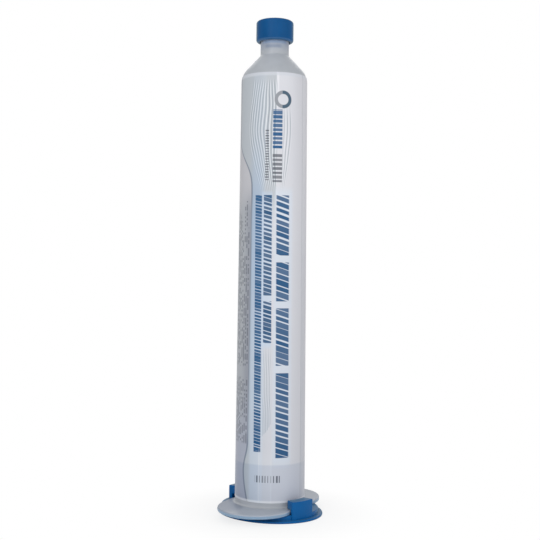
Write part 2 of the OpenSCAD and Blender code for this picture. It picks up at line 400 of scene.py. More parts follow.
class Graph:
    """Adds nodes to a tree. Most methods return an output socket."""

    def __init__(self, tree):
        self.tree = tree

    def feed(self, value, socket):
        """Joins an output to the socket, or sets the socket to a plain value."""
        if isinstance(value, bpy.types.NodeSocket):
            self.tree.links.new(value, socket)
        elif socket.type == "RGBA" and len(value) == 3:
            socket.default_value = (*value, 1)
        else:
            socket.default_value = value

    def node(self, kind, inputs=None, **options):
        """A node with its options set and its inputs fed."""
        made = self.tree.nodes.new(kind)
        for key, value in options.items():
            setattr(made, key, value)
        for key, value in (inputs or {}).items():
            self.feed(value, made.inputs[key])
        return made

    def math(self, operation, *values):
        made = self.node("ShaderNodeMath", operation=operation)
        for value, socket in zip(values, made.inputs):
            self.feed(value, socket)
        return made.outputs[0]

    def ramp(self, value, low, high, to_low=0.0, to_high=1.0, smooth=True):
        """Value mapped from low..high to to_low..to_high and held at the ends."""
        made = self.node("ShaderNodeMapRange", {
            "Value": value, "From Min": low, "From Max": high,
            "To Min": to_low, "To Max": to_high})
        made.interpolation_type = "SMOOTHSTEP" if smooth else "LINEAR"
        return made.outputs["Result"]

    def band(self, value, low, high, soft):
        """1 between low and high, with soft edges."""
        rise = self.math("SUBTRACT", value, low)
        fall = self.math("SUBTRACT", high, value)
        nearest = self.math("MINIMUM", rise, fall)
        return self.ramp(nearest, -soft / 2, soft / 2)

    def mix(self, factor, a, b, blend="MIX"):
        made = self.node("ShaderNodeMix", data_type="RGBA", blend_type=blend)
        self.feed(factor, made.inputs[0])
        self.feed(a, made.inputs[6])
        self.feed(b, made.inputs[7])
        return made.outputs[2]

    def noise(self, vector, scale, detail=2.0):
        made = self.node("ShaderNodeTexNoise", {
            "Vector": vector, "Scale": scale, "Detail": detail, "Roughness": 0.5})
        return made.outputs["Fac"]

    def combine(self, x, y):
        return self.node("ShaderNodeCombineXYZ", {0: x, 1: y, 2: 0.0}).outputs[0]

    def cell(self, x, y):
        """A random value for each whole-number cell."""
        made = self.node("ShaderNodeTexWhiteNoise", {"Vector": self.combine(x, y)}, noise_dimensions="3D")
        return made.outputs["Value"]

    def times(self, first, *others):
        """The product of masks or values."""
        for other in others:
            first = self.math("MULTIPLY", first, other)
        return first

    def length(self, x, y):
        """How far a point is from the middle."""
        return self.math("SQRT", self.math("ADD", self.math("POWER", x, 2.0), self.math("POWER", y, 2.0)))

    def over(self, base, mask, strength, colour):
        """A colour laid over the base where the mask is, at this strength."""
        return self.mix(self.math("MULTIPLY", mask, strength), base, colour)

    def use(self, tree, inputs=None):
        """A node group placed in this tree; returns its outputs."""
        return self.node("ShaderNodeGroup", inputs, node_tree=tree).outputs

    def curve(self, value, low, high, stops, out_low, out_high):
        """A smooth curve through (value, result) stops."""
        made = self.node("ShaderNodeValToRGB", {"Fac": self.ramp(value, low, high, smooth=False)})
        made.color_ramp.interpolation = "B_SPLINE"
        elements = made.color_ramp.elements
        while len(elements) < len(stops):
            elements.new(0.5)
        for element, (at, result) in zip(elements, sorted(stops)):
            element.position = (at - low) / (high - low)
            level = (result - out_low) / (out_high - out_low)
            element.color = (level, level, level, 1)
        return self.ramp(made.outputs["Color"], 0, 1, out_low, out_high, smooth=False)


def group(name, inputs, outputs):
    """A new node group with its sockets; returns the group, its graph and its two ends."""
    tree = bpy.data.node_groups.new(name, "ShaderNodeTree")
    for label, value in inputs:
        made = tree.interface.new_socket(label, in_out="INPUT", socket_type="NodeSocketFloat")
        made.default_value = value
    for label, kind in outputs:
        tree.interface.new_socket(label, in_out="OUTPUT", socket_type=kind)
    graph = Graph(tree)
    start = tree.nodes.new("NodeGroupInput").outputs
    end = tree.nodes.new("NodeGroupOutput").inputs
    return tree, graph, start, end


def place_group():
    """Where a point is on the cartridge: its turn from the photo's side in degrees, and its height."""
    name = "Cartridge place"
    if name in bpy.data.node_groups:
        return bpy.data.node_groups[name]
    tree, g, start, end = group(name, [], [
        ("Turn", "NodeSocketFloat"), ("Up", "NodeSocketFloat"), ("Radius", "NodeSocketFloat"),
        ("Point", "NodeSocketVector")])
    point = g.node("ShaderNodeTexCoord").outputs["Object"]
    scaled = g.node("ShaderNodeVectorMath", {0: point, 1: (1000, 1000, 1000)},
                    operation="MULTIPLY").outputs[0]
    axes = g.node("ShaderNodeSeparateXYZ", {0: scaled}).outputs
    side = math.radians(PHOTO_SIDE)
    depth = g.math("ADD", g.times(axes[0], math.cos(side)), g.times(axes[1], math.sin(side)))
    across = g.math("SUBTRACT", g.times(axes[1], math.cos(side)), g.times(axes[0], math.sin(side)))
    g.feed(g.math("DEGREES", g.math("ARCTAN2", across, depth)), end["Turn"])
    g.feed(axes[2], end["Up"])
    g.feed(g.length(axes[0], axes[1]), end["Radius"])
    g.feed(scaled, end["Point"])
    return tree


def grain_group():
    """The fine unevenness of a moulded surface: a height, a tint and a change of roughness."""
    name = "Moulded grain"
    if name in bpy.data.node_groups:
        return bpy.data.node_groups[name]
    tree, g, start, end = group(name, [("Grain Size", 0.4), ("Cloud Size", 9.0)], [
        ("Height", "NodeSocketFloat"), ("Tint", "NodeSocketFloat"), ("Roughness", "NodeSocketFloat")])
    place = g.use(place_group())
    fine = g.noise(place["Point"], g.math("DIVIDE", 1.0, start["Grain Size"]), 3.0)
    cloud = g.noise(place["Point"], g.math("DIVIDE", 1.0, start["Cloud Size"]), 2.0)
    g.feed(g.math("ADD", g.times(fine, 0.3), cloud), end["Height"])
    g.feed(g.ramp(cloud, 0.3, 0.7, 0.0, 1.0), end["Tint"])
    g.feed(g.ramp(fine, 0.3, 0.7, -0.04, 0.04), end["Roughness"])
    return tree


def bars_group():
    """A row of slanted bars of uneven width and strength."""
    name = "Print bars"
    if name in bpy.data.node_groups:
        return bpy.data.node_groups[name]
    tree, g, start, end = group(name, [
        ("Turn", 0.0), ("Up", 0.0), ("Left", 0.0), ("Right", 1.0), ("Low", 0.0), ("High", 1.0),
        ("Pitch", 2.0), ("Fill", 0.55), ("Slant", 0.0), ("Seed", 0.0)], [("Mask", "NodeSocketFloat")])
    share = g.math("DIVIDE", g.math("SUBTRACT", start["Turn"], start["Left"]),
                   g.math("SUBTRACT", start["Right"], start["Left"]))
    slid = g.math("ADD", start["Up"], g.times(share, start["Slant"]))
    along = g.math("DIVIDE", slid, start["Pitch"])
    index = g.math("FLOOR", along)
    wide = g.times(start["Fill"], g.math("ADD", 0.7, g.times(g.cell(index, start["Seed"]), 0.6)))
    bar = g.ramp(g.math("ABSOLUTE", g.math("SUBTRACT", g.math("FRACT", along), 0.5)),
                 g.math("ADD", g.math("DIVIDE", wide, 2.0), 0.05),
                 g.math("SUBTRACT", g.math("DIVIDE", wide, 2.0), 0.05))
    strength = g.ramp(g.cell(index, g.math("ADD", start["Seed"], 5.0)), 0.0, 1.0, 0.9, 1.0)
    inside = g.times(g.band(share, 0.0, 1.0, 0.1), g.band(start["Up"], start["Low"], start["High"], 0.2))
    g.feed(g.times(inside, bar, strength), end["Mask"])
    return tree


def new_material(name):
    """A material with its graph and its Principled shader."""
    material = bpy.data.materials.new(name)
    material.use_nodes = True
    tree = material.node_tree
    shader = next(n for n in tree.nodes if n.type == "BSDF_PRINCIPLED")
    return material, Graph(tree), shader


def moulded(name, colour, deep, roughness, bump, grain_size=0.4, cloud_size=9.0):
    """A moulded plastic: colour varies a little towards deep, with a fine grain."""
    material, g, shader = new_material(name)
    grain = g.use(grain_group(), {"Grain Size": grain_size, "Cloud Size": cloud_size})
    tinted = g.mix(grain["Tint"], colour, deep)
    g.feed(tinted, shader.inputs["Base Color"])
    g.feed(g.math("ADD", grain["Roughness"], roughness), shader.inputs["Roughness"])
    lift = g.node("ShaderNodeBump", {"Height": grain["Height"], "Strength": bump, "Distance": 0.0001})
    g.feed(lift.outputs[0], shader.inputs["Normal"])
    return material, g, shader, tinted


def shade(colour, factor):
    """The colour made lighter or darker."""
    return tuple(min(1.0, channel * factor) for channel in colour)


def settings():
    """The sizes and the colours that the user can change."""
    scene = bpy.context.scene
    return scene.cartridge_sizes, scene.cartridge_colours


def dress(obj, material, body, slot_name, *nodes):
    """Gives a piece its material and its body, and hides the CAD nodes that it stands for; slot_name is not
    used.
    """
    obj.data.materials.append(material)
    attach(obj, body)
    if nodes:
        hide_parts(*nodes)


def add_bars(g, place, under, colour, rows, strength=1.0):
    """Prints rows of bars over a colour. A row is (left, right, low, high, pitch, fill, slant, seed)."""
    names = ("Left", "Right", "Low", "High", "Pitch", "Fill", "Slant", "Seed")
    leaning = g.math("ADD", place["Turn"], g.ramp(place["Up"], 20.0, PRINT_TOP, -2.8, 0.0, smooth=False))
    mask = None
    for row in rows:
        out = g.use(bars_group(), {"Turn": leaning, "Up": place["Up"], **dict(zip(names, row))})["Mask"]
        mask = out if mask is None else g.math("MAXIMUM", mask, out)
    return g.over(under, mask, strength, colour)


def label_material(film, ink):
    """The printed film: fields of colour, fine waves, rows of bars and a plain ring, with painted highlights
    and painted shade.
    """
    material, g, shader = new_material("printed_film")
    place = g.use(place_group())
    turn, up = place["Turn"], place["Up"]
    cloud = g.noise(place["Point"], 0.05, 2.0)

    # Field colours from the left edge to the right one, and a painted highlight near the top
    base = g.mix(g.ramp(turn, -62.0, 4.0), srgb(178, 187, 194), film)
    base = g.mix(g.ramp(turn, 20.0, 50.0, 0.0, 0.5), base, srgb(204, 204, 210))
    upper = g.times(g.ramp(up, 102.0, 114.0), g.ramp(turn, 5.0, 3.4))
    base = g.over(base, upper, 0.8, srgb(180, 186, 192))
    # Painted highlight: a pale upright streak near the top of the film, where a lamp's reflection falls
    painted_top_highlight = g.times(g.ramp(up, 141.0, 149.0), g.band(turn, 4.2, 8.0, 2.5))
    base = g.over(base, painted_top_highlight, 0.75, srgb(232, 233, 238))

    # Fine waves, upright at the top and drawn together below, and fainter ones beside the lower rows
    warp = g.noise(g.combine(g.times(turn, 0.02), g.times(up, 0.05)), 1.0, 1.0)
    width = g.curve(up, 112.0, 154.0, [
        (112, 0.5), (118, 0.62), (126, 0.86), (134, 1.04), (141, 1.0), (148, 0.9), (154, 0.88)], 0.4, 1.2)
    spread = g.math("DIVIDE", g.math("SUBTRACT", turn, 5.0), width)
    lines = g.math("SINE", g.math("ADD", g.times(spread, 1.18), g.times(warp, 17.0)))
    wave_place = g.times(g.ramp(up, PRINT_TOP, 118.0), g.ramp(up, 154.0, 151.0),
                         g.band(spread, -50.0, 0.0, 8.0))
    hill = g.curve(turn, -42.0, 2.0, [
        (-42, 21), (-34, 23.5), (-28.5, 26.3), (-14.5, 29.1), (-6, 30.6), (-0.2, 33.5), (2, 34)], 20.0, 35.0)
    above = g.times(g.ramp(g.math("SUBTRACT", up, hill), -0.2, 0.2), g.ramp(turn, 2.0, -1.0))
    low_place = g.times(above, g.ramp(up, 61.5, 55.0), g.band(turn, -16.0, 0.0, 4.0))
    side_place = g.times(g.band(up, 117.0, 142.0, 8.0), g.band(spread, 12.0, 26.0, 6.0))
    wave_place = g.math("MAXIMUM", wave_place, g.times(low_place, 0.95))
    wave_place = g.math("MAXIMUM", wave_place, g.times(side_place, 0.8))
    pale = g.times(g.ramp(lines, 0.3, 0.95), wave_place)
    dark = g.times(g.ramp(lines, -0.35, -0.95), wave_place)
    base = g.over(base, pale, 0.85, srgb(226, 230, 234))
    base = g.over(base, dark, 0.8, srgb(142, 152, 164))
    base = g.mix(g.times(above, g.ramp(up, 50.0, 30.0, 0.0, 0.35)), base, srgb(176, 187, 200))

    # The blue strip beside the panel
    strip = g.times(g.band(turn, -40.0, -17.0, 14.0), g.curve(
        up, 20, 135, [(20, 0), (30, 0.3), (60, 0.55), (90, 0.95), (108, 0.9), (118, 0.5), (135, 0)], 0, 1))
    base = g.over(base, strip, 0.85, srgb(148, 174, 204))

    # The panel on the left, with its dark edge
    edge = g.curve(up, 4.0, 132.0, [
        (4, -37), (10, -45), (16, -50), (20, -47), (23.5, -41), (26.5, -40), (40, -39.5),
        (108, -38), (117, -37.5), (122, -43), (127, -62), (132, -78)], -80.0, -20.0)
    beyond = g.math("SUBTRACT", edge, turn)
    panel = g.times(g.ramp(beyond, -0.6, 0.6), g.ramp(beyond, 70.0, 60.0))
    paper = g.mix(g.ramp(up, 118.0, 106.0), srgb(190, 190, 195), g.mix(
        g.ramp(beyond, 4.0, 20.0), srgb(152, 156, 166), srgb(172, 176, 182)))
    paper = g.mix(g.ramp(up, 50.0, 20.0), paper, srgb(170, 175, 190))
    base = g.mix(panel, base, paper)
    ends = g.math("MAXIMUM", g.ramp(up, 104.0, 116.0), g.ramp(up, 34.0, 24.0))
    border = g.times(g.band(beyond, -1.6, 1.5, 1.4), g.ramp(ends, 0.0, 1.0, 0.34, 0.62))
    base = g.mix(border, base, srgb(76, 92, 114))

    # Small print on the panel: columns of specks, with a gap between two blocks
    column = g.math("DIVIDE", turn, 4.6)
    number = g.math("FLOOR", column)
    speck = g.cell(number, g.math("FLOOR", g.math("DIVIDE", up, 0.7)))
    specks = g.times(g.ramp(speck, 0.35, 0.5), g.band(g.math("FRACT", column), 0.2, 0.8, 0.2))
    longer = g.times(g.cell(number, 7.0), 14.0)
    blocks = g.times(g.band(turn, -84.0, -41.0, 1.0), g.band(up, 26.0, PRINT_TOP, 1.0),
                     g.ramp(g.math("ABSOLUTE", g.math("SUBTRACT", up, 51.0)), 1.6, 2.4),
                     g.math("LESS_THAN", g.math("ADD", up, longer), PRINT_TOP + 1.0))
    base = g.over(base, g.times(specks, blocks), 0.66, srgb(84, 90, 100))

    # A pale halo under the three rows of large bars, and the rows themselves
    title = [(5.5, 27.6, low, high, 2.1, 0.8, 1.5, seed) for low, high, seed in (
        (92.0, PRINT_TOP, 1), (76.0, 89.6, 2), (53.6, 73.6, 3), (21.5, 51.0, 4))]
    second = [(-15.5, -2.0, low, high, 1.5, 0.77, 0.8, seed) for low, high, seed in (
        (78.0, PRINT_TOP, 4), (61.5, 76.0, 5))]
    third = [(-30.6, -18.8, 23.5, PRINT_TOP, 1.1, 0.8, 0.5, 6)]
    halo = g.times(g.band(turn, 3.0, 34.0, 8.0), g.band(up, 19.0, 115.0, 4.0))
    halo = g.math("MAXIMUM", halo, g.times(
        g.band(turn, -36.0, -13.0, 6.0), g.ramp(up, PRINT_TOP, 50.0, 0.2, 0.9)))
    base = g.over(base, halo, 0.45, srgb(210, 223, 238))
    tint = g.times(g.band(turn, -19.0, -1.0, 3.0), g.band(up, 60.0, 114.0, 2.0))
    base = g.over(base, tint, 0.6, srgb(194, 211, 231))
    base = add_bars(g, place, base, ink, title)
    base = add_bars(g, place, base, srgb(0, 74, 118), second)
    base = add_bars(g, place, base, srgb(0, 82, 130), third)

    # A plain two-tone ring, a line of bars below it and a thin one beside that
    off = g.math("DIVIDE", g.math("SUBTRACT", turn, 15.5), 4.8)
    hoop = g.band(g.length(off, g.math("SUBTRACT", up, 146.4)), 1.9, 3.1, 0.25)
    base = g.over(base, hoop, g.ramp(off, -0.6, -0.2), srgb(62, 88, 108))
    base = g.over(base, hoop, g.ramp(off, -0.2, -0.6), srgb(146, 150, 156))
    base = add_bars(g, place, base, srgb(0, 82, 132), [(-1.5, 14.5, 129.0, 142.8, 1.5, 0.78, 0.0, 11.0)])
    base = add_bars(g, place, base, srgb(76, 82, 92),
                    [(-1.5, 14.5, 117.5, 127.5, 1.5, 0.62, 0.0, 12.0),
                     (-14.0, -8.0, 118.0, 136.0, 0.9, 0.5, 0.0, 13.0)], 0.85)

    # One plain colour round the hidden side
    hidden = g.ramp(g.math("ABSOLUTE", turn), 92.0, 120.0)
    base = g.mix(hidden, base, srgb(204, 206, 211))

    # A short line of marks near the bottom
    marks = g.times(g.band(up, 12.9, 15.3, 0.2), g.band(turn, -25.0, 17.0, 1.0))
    number = g.math("DIVIDE", turn, 4.6)
    stroke = g.band(g.math("FRACT", number), 0.1, g.math(
        "ADD", 0.35, g.times(0.4, g.cell(g.math("FLOOR", number), 3.0))), 0.12)
    base = g.over(base, g.times(marks, stroke), 0.85, srgb(70, 76, 90))

    # The film is greyer over the piston, with painted highlight streaks and a painted pale patch low on the
    # front, of one tone along its top edge, and with painted shade on its right side past the lap, darker
    # towards the bottom
    # Painted highlight: two narrow pale upright streaks and a broader pale patch over the piston
    painted_low_streaks = g.math("MAXIMUM", g.band(turn, -19.4, -17.4, 1.2), g.band(turn, 0.6, 2.2, 1.2))
    painted_low_streaks = g.math("MAXIMUM", painted_low_streaks, g.times(g.band(turn, -19.0, 3.0, 3.0), 0.35))
    base = g.mix(g.times(painted_low_streaks, g.ramp(up, 26.0, 20.0, 0.0, 0.6)), base, srgb(226, 229, 234))
    low = g.ramp(up, 19.4, 18.6)
    base = g.mix(low, base, g.mix(1.0, base, srgb(236, 240, 246), "MULTIPLY"))
    top = g.times(g.ramp(up, 154.4, 155.2), g.ramp(turn, -95.0, -60.0))
    base = g.over(base, top, 0.7, srgb(206, 210, 218))
    lap = g.band(turn, 57.4, 58.4, 0.5)
    base = g.over(base, lap, 0.45, srgb(150, 152, 160))
    # Painted shade: the right side past the lap's edge gets darker towards the bottom
    painted_side_shade = g.times(g.band(turn, 58.7, 100.0, 1.0), g.ramp(up, 130.0, 60.0, 0.0, 0.4))
    base = g.mix(painted_side_shade, base, srgb(186, 188, 196))
    base = g.over(base, cloud, 0.12, srgb(190, 194, 204))
    # Painted shade: the whole film gets darker towards the bottom
    fade = g.mix(g.ramp(up, 20.0, 110.0, smooth=False), srgb(244, 245, 246), srgb(255, 255, 255))
    base = g.mix(1.0, base, fade, "MULTIPLY")
    # Painted highlight along the film's bottom edge
    painted_edge_highlight = g.ramp(up, 6.8, 6.3)
    base = g.over(base, painted_edge_highlight, 0.5, srgb(238, 240, 244))

    g.feed(base, shader.inputs["Base Color"])
    g.feed(g.ramp(cloud, 0.3, 0.7, 0.30, 0.38), shader.inputs["Roughness"])
    shader.inputs["Specular IOR Level"].default_value = 0.12
    shader.inputs["Coat Weight"].default_value = 0.09
    shader.inputs["Coat Roughness"].default_value = 0.06
    wrinkle = g.node("ShaderNodeBump", {"Height": cloud, "Strength": 0.15, "Distance": 0.0003})
    g.feed(wrinkle.outputs[0], shader.inputs["Normal"])
    return material


# Operators, one for each piece or pair of pieces

class CARTRIDGE_OT_barrel(bpy.types.Operator):
    """Builds the barrel with its flange, shoulder, neck and threaded spout"""
    bl_idname = "cartridge.barrel"
    bl_label = "Barrel"

    def execute(self, context):
        sizes, colours = settings()
        edge = sizes.edge_round / MM
        rings = [ring(BORE_R + MOUTH_BEVEL, Z_FLANGE), ring(REAR_R, Z_FLANGE)]
        rings += rounded_rim(flange_radius, Z_FLANGE, Z_FLANGE_TOP, edge)
        rings += to_rings(barrel_skin())
        low, high = Z_CAP + COLLAR + 0.02, Z_TIP - MOUTH_BEVEL
        for i in range(THREAD_RINGS + 1):
            z = low + (high - low) * i / THREAD_RINGS
            rings.append(ring(lambda a, z=z: SPOUT_R + (NECK_R - SPOUT_R) * ridge(a, z, 0), z))
        inside = rounded([(SPOUT_R - MOUTH_BEVEL, Z_TIP, 0), (OUTLET_R, Z_TIP, 0.15)]
                         + list(reversed(front_path(0, Z_TIP - 1)))[1:]
                         + [(BORE_R, Z_FLANGE + MOUTH_BEVEL, 0)])
        rings += to_rings(inside)
        obj = loft("barrel_shell", rings, closed=True)
        material, g, shader, tinted = moulded(
            "frosted_plastic", tuple(colours.plastic), shade(colours.plastic, 0.9), 0.36, 0.25)
        place = g.use(place_group())
        turn, up = place["Turn"], place["Up"]
        # The neck under the cap: painted shade and a painted shadow of the cap, and painted blue light from
        # the cap on its front
        base = g.over(tinted, g.band(up, 166.0, 168.8, 3.0), 0.8, srgb(148, 158, 175))
        # Painted shadow of the cap on the neck's front
        painted_cap_shadow = g.times(g.band(up, 166.0, 167.1, 0.8), g.band(turn, -40, 28, 24))
        base = g.over(base, painted_cap_shadow, 0.5, srgb(106, 122, 150))
        # Painted reflection: the blue cap's light on the neck just under its rim
        blue = g.times(g.band(up, 167.7, 169.5, 1.0), g.band(turn, -55, 55, 35))
        base = g.over(base, blue, 0.65, srgb(112, 142, 182))
        # The flange is a little darker, and its lower edge is painted bluer and paler, standing in for the
        # blue end cap seen through it and light on its side edge
        wing = g.times(g.ramp(up, 5.2, 4.4), g.ramp(place["Radius"], 13.0, 13.6))
        base = g.mix(wing, base, g.mix(g.ramp(turn, -48.0, -30.0), srgb(141, 150, 166), srgb(166, 173, 184)))
        # Painted light: the blue end cap seen through the flange's lower edge
        base = g.mix(g.times(wing, g.ramp(up, 3.8, 3.3)), base, srgb(130, 158, 184))
        g.feed(base, shader.inputs["Base Color"])
        shader.inputs["Subsurface Weight"].default_value = 0.15
        shader.inputs["Subsurface Radius"].default_value = (1.0, 1.0, 1.1)
        shader.inputs["Subsurface Scale"].default_value = 0.001
        dress(obj, material, "barrel", "clear_plastic", "barrel")
        return {"FINISHED"}


class CARTRIDGE_OT_label(bpy.types.Operator):
    """Wraps the printed film round the barrel, with its lap on the hidden side"""
    bl_idname = "cartridge.label"
    bl_label = "Label"

    def execute(self, context):
        sizes, colours = settings()
        path = self.stretch(barrel_skin(), LABEL_LOW.z, LABEL_HIGH.z - FILM_MARGIN)
        normals = []
        for i, point in enumerate(path):
            along = (path[min(i + 1, len(path) - 1)] - path[max(i - 1, 0)]).normalized()
            normals.append(Vector((along.y, -along.x)))
        film = sizes.label_thickness / MM
        lap = sizes.lap_thickness / MM

        def thickness(angle):
            beyond = (angle - LAP_EDGE - math.radians(0.2)) % math.tau
            return film + lap * min(1.0, max(0.0, (LAP_REACH - beyond) / math.radians(2)))

        inner = []
        outer = []
        for point, normal in zip(path, normals):
            under = point + normal * FILM_GAP
            inner.append(ring(under.x, under.y))
            outer.append([Vector((
                (point.x + normal.x * thickness(a)) * math.cos(a),
                (point.x + normal.x * thickness(a)) * math.sin(a),
                point.y + normal.y * film)) for a in ANGLES])
        obj = loft("label_film", inner + list(reversed(outer)), closed=True, sharp=50)
        dress(obj, label_material(tuple(colours.film), tuple(colours.ink)),
              "barrel", "label_film", "label")
        return {"FINISHED"}

    @staticmethod
    def stretch(path, low, high):
        """The part of a path between two heights, with its ends cut exactly there."""
        part = []
        for a, b in zip(path, path[1:]):
            for level in (low, high):
                if a.y < level <= b.y:
                    part.append(a.lerp(b, (level - a.y) / (b.y - a.y)))
            if low < b.y < high:
                part.append(b)
        return sorted(part, key=lambda p: p.y)


class CARTRIDGE_OT_contents(bpy.types.Operator):
    """Fills the bore: a sleeve that the piston shortens, and the part in the shoulder and spout"""
    bl_idname = "cartridge.contents"
    bl_label = "Glue"

    def execute(self, context):
        colours = settings()[1]
        gap = SEAT_GAP
        split = Z_PISTON_EDGE + PISTON_STROKE + 2 * gap
        lift = split - Z_PISTON_EDGE - gap
        wide = BORE_R - gap
        nose = [(0, nose_z(OUTLET_R) + gap), (OUTLET_R, nose_z(OUTLET_R) + gap),
                (PISTON_R - MOUTH_BEVEL, Z_PISTON_EDGE + gap)]
        # Hollow, so that it can flatten above the piston's edge without cutting through its nose
        inner = PISTON_R - MOUTH_BEVEL + gap
        column = [(inner, Z_PISTON_EDGE + gap), (wide, Z_PISTON_EDGE + gap), (wide, split), (inner, split)]
        body = loft("glue_column", to_rings(column), closed=True)
        head = [(r, z + lift + gap) for r, z in nose] + [(wide, split + gap)]
        outside = rounded([(wide, split + gap, 0)] + front_path(gap, Z_TIP - gap)
                          + [(0, Z_TIP - gap, 0)])
        tip = loft("glue_head", to_rings(head + [tuple(p) for p in outside[1:]]))
        material, _, shader, _ = moulded(
            "pale_glue", tuple(colours.glue), shade(colours.glue, 0.92), 0.25, 0.2, 1.5, 6.0)
        shader.inputs["Subsurface Weight"].default_value = 0.2
        shader.inputs["Subsurface Scale"].default_value = 0.002
        dress(body, material, "barrel", "glue", "glue")
        dress(tip, material, "barrel", "glue")
        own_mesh(body)
        return {"FINISHED"}


class CARTRIDGE_OT_piston(bpy.types.Operator):
    """Builds the piston with its two lips and its conical nose"""
    bl_idname = "cartridge.piston"
    bl_label = "Piston"

    def execute(self, context):
        roof = PISTON_WALL / math.sin(SHOULDER_ANGLE)
        path = rounded([
            (PISTON_INNER_R, Z_PISTON, 0),
            (PISTON_R - MOUTH_BEVEL / 2, Z_PISTON, 0.1),
            (PISTON_R, Z_PISTON + MOUTH_BEVEL, 0.1),
            (PISTON_R, Z_PISTON + PISTON_LIP - MOUTH_BEVEL, 0.1),
            (PISTON_BODY_R, Z_PISTON + PISTON_LIP, 0.1),
            (PISTON_BODY_R, Z_PISTON_EDGE - PISTON_LIP, 0.1),
            (PISTON_R, Z_PISTON_EDGE - PISTON_LIP + MOUTH_BEVEL, 0.1),
            (PISTON_R, Z_PISTON_EDGE - MOUTH_BEVEL, 0.1),
            (PISTON_R - MOUTH_BEVEL, Z_PISTON_EDGE, 0.1),
            (OUTLET_R, nose_z(OUTLET_R), 0.6),
            (0, nose_z(OUTLET_R), 0)], steps=4)
        under = rounded([
            (0, nose_z(OUTLET_R) - roof, 0),
            (OUTLET_R, nose_z(OUTLET_R) - roof, 0.4),
            (PISTON_INNER_R, nose_z(PISTON_INNER_R) - roof, 0.6),
            (PISTON_INNER_R, Z_PISTON, 0)], steps=4)
        obj = loft("piston_seal", to_rings(list(path) + list(under)))
        material = moulded(
            "white_plastic", srgb(226, 226, 222), srgb(214, 214, 210), 0.42, 0.2)[0]
        dress(obj, material, "piston", "piston_plastic", "piston")
        return {"FINISHED"}


class CARTRIDGE_OT_screw_cap(bpy.types.Operator):
    """Builds the screw cap with its inside thread, and the sealing liner under its roof"""
    bl_idname = "cartridge.screw_cap"
    bl_label = "Screw cap and liner"

    def execute(self, context):
        colours = settings()[1]
        outside = rounded([
            (CAP_BORE_R, Z_CAP, 0),
            (CAP_R, Z_CAP, CAP_LOW_EDGE),
            (CAP_R, Z_CAP_TOP, CAP_EDGE),
            (0, Z_CAP_TOP, 0)])
        rings = to_rings([(0, CAP_ROOF), (CAP_BORE_R, CAP_ROOF)])
        for i in range(CAP_RINGS):
            z = CAP_ROOF + (Z_CAP - CAP_ROOF) * (i + 0.5) / CAP_RINGS
            rings.append(ring(lambda a, z=z: CAP_BORE_R
                              - (CAP_BORE_R - CAP_THREAD_R) * ridge(a, z, math.pi), z))
        rings += to_rings(outside)
        cap = loft("screw_cap_shell", rings)
        material = blue_material(tuple(colours.blue))
        dress(cap, material, "cap", "blue_plastic", "screw_cap")
        radius = LINER_HIGH.x
        disc = rounded([
            (0, LINER_LOW.z, 0), (radius, LINER_LOW.z, 0.12),
            (radius, LINER_HIGH.z, 0.12), (0, LINER_HIGH.z, 0)], steps=4)
        liner = loft("liner_disc", to_rings(disc))
        foam = moulded("white_foam", srgb(238, 238, 234), srgb(224, 224, 220), 0.7, 0.6, 0.25, 4.0)[0]
        dress(liner, foam, "cap_seal", "liner_foam", "cap_liner")
        return {"FINISHED"}


class CARTRIDGE_OT_end_cap(bpy.types.Operator):
    """Builds the end cap: an oval plate, a seat, a centring ring and two hooks"""
    bl_idname = "cartridge.end_cap"
    bl_label = "End cap"

    def execute(self, context):
        sizes, colours = settings()
        edge = sizes.edge_round / MM
        rings = to_rings([(0, END_FLOOR_Z), (PLUG_INNER_R, END_FLOOR_Z), (PLUG_INNER_R, 0.15),
                          (PLUG_INNER_R + 0.15, 0)])
        rings += rounded_rim(lambda a: plate_radius(a, 0), 0.0, RIM_H, edge)

        def seat(angle):
            return plate_radius(angle, SEAT_STEP)

        rings.append(ring(seat, RIM_H))
        rings.append(ring(seat, SEAT_H - edge))
        for i in range(1, 5):
            t = math.pi / 8 * i
            inset = edge * (1 - math.cos(t))
            rings.append(ring(lambda a, d=inset: seat(a) - d, SEAT_H - edge + edge * math.sin(t)))
        ring_path = rounded([
            (PLUG_R, SEAT_H, 0), (PLUG_R, PLUG_TOP, MOUTH_BEVEL),
            (PLUG_INNER_R, PLUG_TOP, 0.15), (PLUG_INNER_R, SEAT_H, 0.2), (0, SEAT_H, 0)], steps=5)
        rings += to_rings(ring_path)
        vertices, faces = loft_faces(rings, closed=False)
        for centre in HOOK_CENTRES:
            points, sides = self.hook(centre, len(vertices))
            vertices += points
            faces += sides
        obj = new_object("end_cap_body", vertices, faces)
        dress(obj, blue_material(tuple(colours.blue)), "end_cap", "blue_plastic", "end_cap")
        return {"FINISHED"}

    @staticmethod
    def hook(centre, first):
        """One hook with bevelled edges, as points and faces."""
        corners = [(HOOK_IN_R, HOOK_ROOT_Z), (HOOK_OUT_R, HOOK_ROOT_Z), (HOOK_OUT_R, HOOK_TOP),
                   (HOOK_LIP_R, HOOK_TOP), (HOOK_LIP_R, Z_FLANGE_TOP + SEAT_GAP),
                   (HOOK_IN_R, Z_FLANGE_TOP + SEAT_GAP)]
        steps = 20
        work = bmesh.new()
        sections = []
        for i in range(steps + 1):
            a = centre + HOOK_SPAN * (i / steps - 0.5)
            sections.append([work.verts.new((r * math.cos(a), r * math.sin(a), z)) for r, z in corners])
        count = len(corners)
        for low, high in zip(sections, sections[1:]):
            for k in range(count):
                m = (k + 1) % count
                work.faces.new((low[k], low[m], high[m], high[k]))
        work.faces.new(sections[0])
        work.faces.new(list(reversed(sections[-1])))
        bmesh.ops.recalc_face_normals(work, faces=work.faces)
        sharp = [e for e in work.edges if e.calc_face_angle(0) > math.radians(40)]
        bmesh.ops.bevel(work, geom=sharp, offset=HOOK_EDGE, segments=4, profile=0.5, affect="EDGES")
        work.verts.index_update()
        points = [v.co.copy() for v in work.verts]
        faces = [tuple(first + v.index for v in f.verts) for f in work.faces]
        work.free()
        return points, faces


